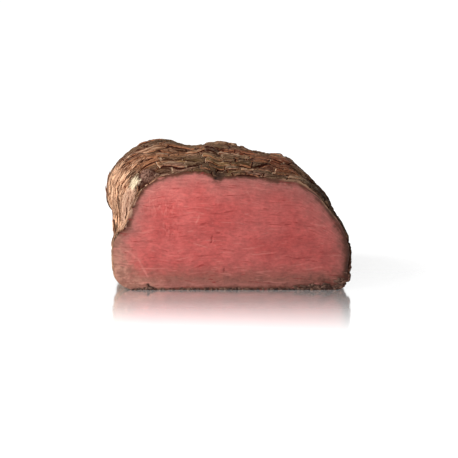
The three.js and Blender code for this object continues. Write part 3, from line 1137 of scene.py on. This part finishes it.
loose_thread, tree, shader = new_material("loose_thread")
bar = read(tree, "bar", "Vector")
tone = split(tree, read(tree, "tone", "Vector"))
own = turn(tree, "ADD", bar, stretch(tree, read(tree, "tone", "Vector"), 40.0))
hairs = cloud(tree, own, (6, 4, 4), 3.0, 0.6, 0.4)[0]
colour = tint(tree, tone[0], shade(100, 62, 40), shade(182, 126, 92))
for name in ("peach", "membrane", "charred", "fat"):
    patch = stir(tree, read(tree, name), less(tree, tone[1], 0.5), 0.5)
    cover = ease(tree, patch, 0.15, 0.45, 0.0, 0.9)
    colour = tint(tree, cover, colour, PATCH_COLOURS[name])
colour = stretch(tree, colour, ease(tree, tone[2], 0.0, 1.0, 0.7, 1.25))
crack = tint(tree, ease(tree, read(tree, "peach"), 0.15, 0.5), shade(112, 60, 34), PALE_CRACK)
colour = tint(tree, ease(tree, hairs, 0.5, 0.36, 0.0, 0.6), colour, crack)
colour, specks = roast(tree, colour, 0.5)
roughness = ease(tree, hairs, 0.3, 0.7, 0.5, 0.75)
set_shader(tree, shader, colour, roughness, 0.15, bump(tree, specks, 0.4 * MM, 0.6))

thread_sizes = {
    "Spacing": (7.0 * MM, 1.9 * MM, 1.0),
    "Size": (9.0 * MM, 1.0 * MM, 0.8 * MM),
    "Unevenness": (0.6, 0.45, 0.45),
    "Tilt": (math.radians(20), math.radians(1), math.radians(7)),
    "Wander": (0.0, 2.5 * MM, 0.0),
    "Seat": 0.05 * MM,
    "Unrest": 0.4 * MM,
    "Crumple": 1.1 * MM,
}
lay_threads("crust_threads", "thread_cover", 23.0, thread_sizes, loose_thread)
shoulder_sizes = thread_sizes | {
    "Spacing": (8.0 * MM, 1.7 * MM, 1.0),
    "Size": (12.0 * MM, 1.5 * MM, 1.1 * MM),
    "Unevenness": (0.5, 0.4, 0.4),
    "Unrest": 0.5 * MM,
}
lay_threads("shoulder_threads", "shoulder_cover", 31.0, shoulder_sizes, loose_thread)

# Crumbs of the crust: dark flakes of roasted meat that have come off the underside's edge. They
# lie loose along the foot and pile up against the cut's lower right.
CRUMB_STEP = 0.9
CRUMB_SHARE = 0.6
CRUMB_SIZE = (2.4, 1.3, 1.3)
CRUMB_GROWTH = (0.45, 1.5)
CRUMB_SCATTER = (0.5, 0.35, 0.1)
CRUMB_RISE = (0.1, 0.9)
CRUMB_TURN = 0.5
CRUMB_TONE = 0.9
CRUMB_SEED = 17

# Larger flakes by the hole: place and size in millimetres. More lie piled along the right foot.
FLAKES = [((-48, -49.4, 1), (4, 2, 2)), ((-51.5, -49.2, 0.8), (3, 2, 1.6))]
PILE = 120
PILE_START, PILE_END = 30, 73
PILE_HEIGHT = 6
PILE_SIZE = (4.4, 1.3, 1.4)
PILE_CROWD = 0.4  # below 1 more flakes lie towards the pile's right end
PILE_LOW = 1.5  # above 1 more flakes lie low
PILE_DEPTH = 0.8
PILE_GROWTH = (0.5, 0.8)  # a flake's least share of the size, and how much more at most
PILE_RIM = 0.15  # share of the cut's height that counts as its lower rim

crumb, tree, shader = new_material("crumb")
colour = tint(tree, read(tree, "tone"), shade(52, 32, 25), shade(128, 95, 80))
colour, specks = roast(tree, colour, 0.9)
roughness = ease(tree, specks, 0.3, 0.7, 0.45, 0.8)
set_shader(tree, shader, colour, roughness, 0.15, bump(tree, specks, 0.5 * MM, 0.6))

draws = np.random.default_rng(CRUMB_SEED)
steps = np.linalg.norm(np.diff(foot_line, axis=0, append=foot_line[:1]), axis=1)
ways = np.concatenate([[0], np.cumsum(steps)]) / MM
spots = np.arange(0, ways[-1], CRUMB_STEP)
spots = spots[draws.random(len(spots)) < CRUMB_SHARE]
looped = np.vstack([foot_line, foot_line[:1]]) / MM
seats = np.stack([np.interp(spots, ways, looped[:, axis]) for axis in range(3)], axis=1)
seats += draws.normal(0, CRUMB_SCATTER, seats.shape)
seats[:, 2] += draws.uniform(*CRUMB_RISE, len(seats))
sizes = np.array(CRUMB_SIZE) * draws.uniform(*CRUMB_GROWTH, seats.shape)
seats = np.vstack([seats, [place for place, _ in FLAKES]])
sizes = np.vstack([sizes, [size for _, size in FLAKES]])
piled = draws.random((PILE, 4))
pile_x = PILE_START + (PILE_END - PILE_START) * piled[:, 0] ** PILE_CROWD
lower_rim = rim_line[(rim_line[:, 2] < PILE_RIM * CUT_HEIGHT) & (rim_line[:, 0] > 0)] / MM
lower_rim = lower_rim[np.argsort(lower_rim[:, 0])]
pile_z = piled[:, 1] ** PILE_LOW * PILE_HEIGHT * (pile_x - PILE_START) / (PILE_END - PILE_START)
pile_z += np.interp(pile_x, lower_rim[:, 0], lower_rim[:, 2])
pile_y = lowest.y / MM + piled[:, 2] * PILE_DEPTH
seats = np.vstack([seats, np.stack([pile_x, pile_y, pile_z], axis=1)])
sizes = np.vstack([sizes, np.array(PILE_SIZE) * (PILE_GROWTH[0] + piled[:, 3:] * PILE_GROWTH[1])])
turns = draws.uniform(-CRUMB_TURN, CRUMB_TURN, seats.shape)
seat_mesh = bpy.data.meshes.new("crumbs")
seat_mesh.from_pydata([Vector(seat) * MM for seat in seats], [], [])
keep(seat_mesh, "size", sizes * MM)
keep(seat_mesh, "turns", turns)
keep(seat_mesh, "tone", draws.uniform(0, CRUMB_TONE, len(seats)))
crumbs = put("crumbs", seat_mesh)

crumb_sizes = {"Grit": 0.7 * MM}
tree, given, made = new_tree("crumbs", crumb_sizes)
knob = add(tree, "GeometryNodeMeshIcoSphere", {"Radius": 0.5, "Subdivisions": 2})[0]
turned = add(tree, "FunctionNodeEulerToRotation", {"Euler": kept(tree, "turns", VECTOR)})[0]
inputs = {"Points": given["Geometry"], "Instance": knob, "Rotation": turned}
inputs["Scale"] = kept(tree, "size", VECTOR)
feed(tree, made["Geometry"], scatter(tree, inputs, (700, 3.0), given["Grit"], crumb))
run_tree(crumbs, tree, crumb_sizes)
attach(crumbs, "root")

# The stage: a pale, faintly glossy floor under soft light from the upper left, seen by a camera
# that looks down a little on the knife's face.
VIEW_HEIGHT = math.radians(12)
VIEW_DISTANCE = 1.0
VIEW_TARGET = Vector((0.7 * MM, lowest.y, 38.6 * MM))
FRAME_PIXELS = 458
PIXEL_SIZE = 0.615  # millimetres of the joint in one pixel
FRAME_WIDTH = FRAME_PIXELS * PIXEL_SIZE * MM
SENSOR = 36
GLOSS = 0.92
GLOSS_REACH = 130 * MM
GLOSS_WIDTH = (110 * MM, 200 * MM)
FLOOR_WHITE = 0.97
FLOOR_ROUGHNESS = 0.12
FLOOR_GLOW = 0.05
SKY_STRENGTH = 0.95

floor_mesh = bpy.data.meshes.new("floor")
floor_mesh.from_pydata([(-8, -8, 0), (8, -8, 0), (8, 12, 0), (-8, 12, 0)], [], [(0, 1, 2, 3)])
floor = put("floor", floor_mesh)
white, tree, shader = new_material("white_floor")
shader.inputs["Base Color"].default_value = (FLOOR_WHITE, FLOOR_WHITE, FLOOR_WHITE, 1)
aside, away, _ = split(tree, add(tree, "ShaderNodeTexCoord")["Object"])
gloss = times(
    tree,
    ease(tree, away, lowest.y - GLOSS_REACH, lowest.y, 0.0, GLOSS),
    ease(tree, away, lowest.y + GLOSS_REACH, lowest.y),
    ease(tree, calc(tree, "ABSOLUTE", aside), *reversed(GLOSS_WIDTH)),
)
feed(tree, shader.inputs["Metallic"], gloss)
shader.inputs["Roughness"].default_value = FLOOR_ROUGHNESS
shader.inputs["Emission Color"].default_value = (1, 1, 1, 1)
shader.inputs["Emission Strength"].default_value = FLOOR_GLOW
floor_mesh.materials.append(white)

camera_data = bpy.data.cameras.new("camera")
camera_data.sensor_width = SENSOR
camera_data.lens = SENSOR * VIEW_DISTANCE / FRAME_WIDTH
camera = put("camera", camera_data)
towards = Vector((0, math.cos(VIEW_HEIGHT), -math.sin(VIEW_HEIGHT)))
camera.location = VIEW_TARGET - VIEW_DISTANCE * towards
camera.rotation_euler = towards.to_track_quat("-Z", "Y").to_euler()
bpy.context.scene.camera = camera

sky = bpy.data.worlds.new("sky")
sky.use_nodes = True
sky.node_tree.nodes["Background"].inputs["Color"].default_value = (1, 1, 1, 1)
sky.node_tree.nodes["Background"].inputs["Strength"].default_value = SKY_STRENGTH
bpy.context.scene.world = sky


def hang_light(name, kind, place, power, size):
    """A light at a place, turned to the joint."""
    data = bpy.data.lights.new(name, kind)
    data.energy = power
    if kind == "SUN":
        data.angle = size
    else:
        data.size = size
    light = put(name, data)
    light.location = place
    light.rotation_euler = (VIEW_TARGET - light.location).to_track_quat("-Z", "Y").to_euler()


hang_light("window", "SUN", (-2, -0.6, 1.6), 1.2, math.radians(20))
hang_light("key", "AREA", (-0.40, -0.38, 0.26), 3.4, 0.2)
bpy.context.scene.view_settings.view_transform = "Standard"
